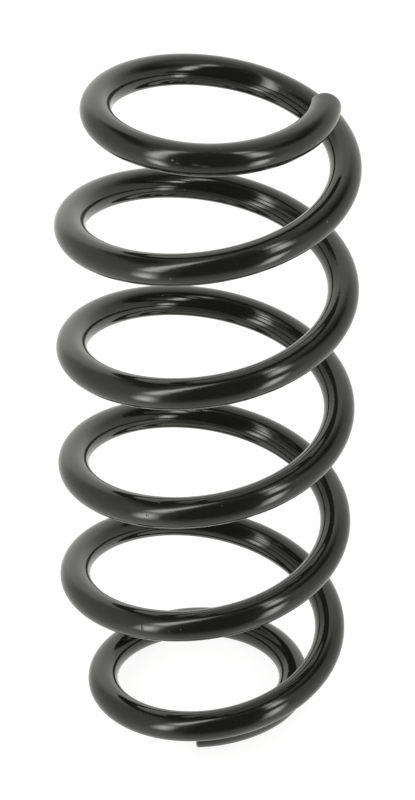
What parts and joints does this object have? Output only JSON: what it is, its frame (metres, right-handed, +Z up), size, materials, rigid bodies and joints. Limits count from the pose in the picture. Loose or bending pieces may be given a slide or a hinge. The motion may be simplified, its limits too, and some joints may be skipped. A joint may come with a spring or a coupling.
{
  "type": "helical compression spring",
  "caption": "Helical compression spring of round steel wire with a gloss black coating; the turn at each end closes in on a spiral and lies flat on its seat.",
  "frame": {"origin": "on the coil's axis, in the plane that the lower end turn stands on", "axes": "+Z up along the coil's axis, from the lower end to the upper end; -Y is the side that the picture was taken from"},
  "size_m": [0.1319, 0.132, 0.32],
  "materials": {
    "black_coating": "gloss black coating over spring steel"
  },
  "bodies": {
    "root": {"coil_spring": "black_coating"}
  },
  "joints": []
}
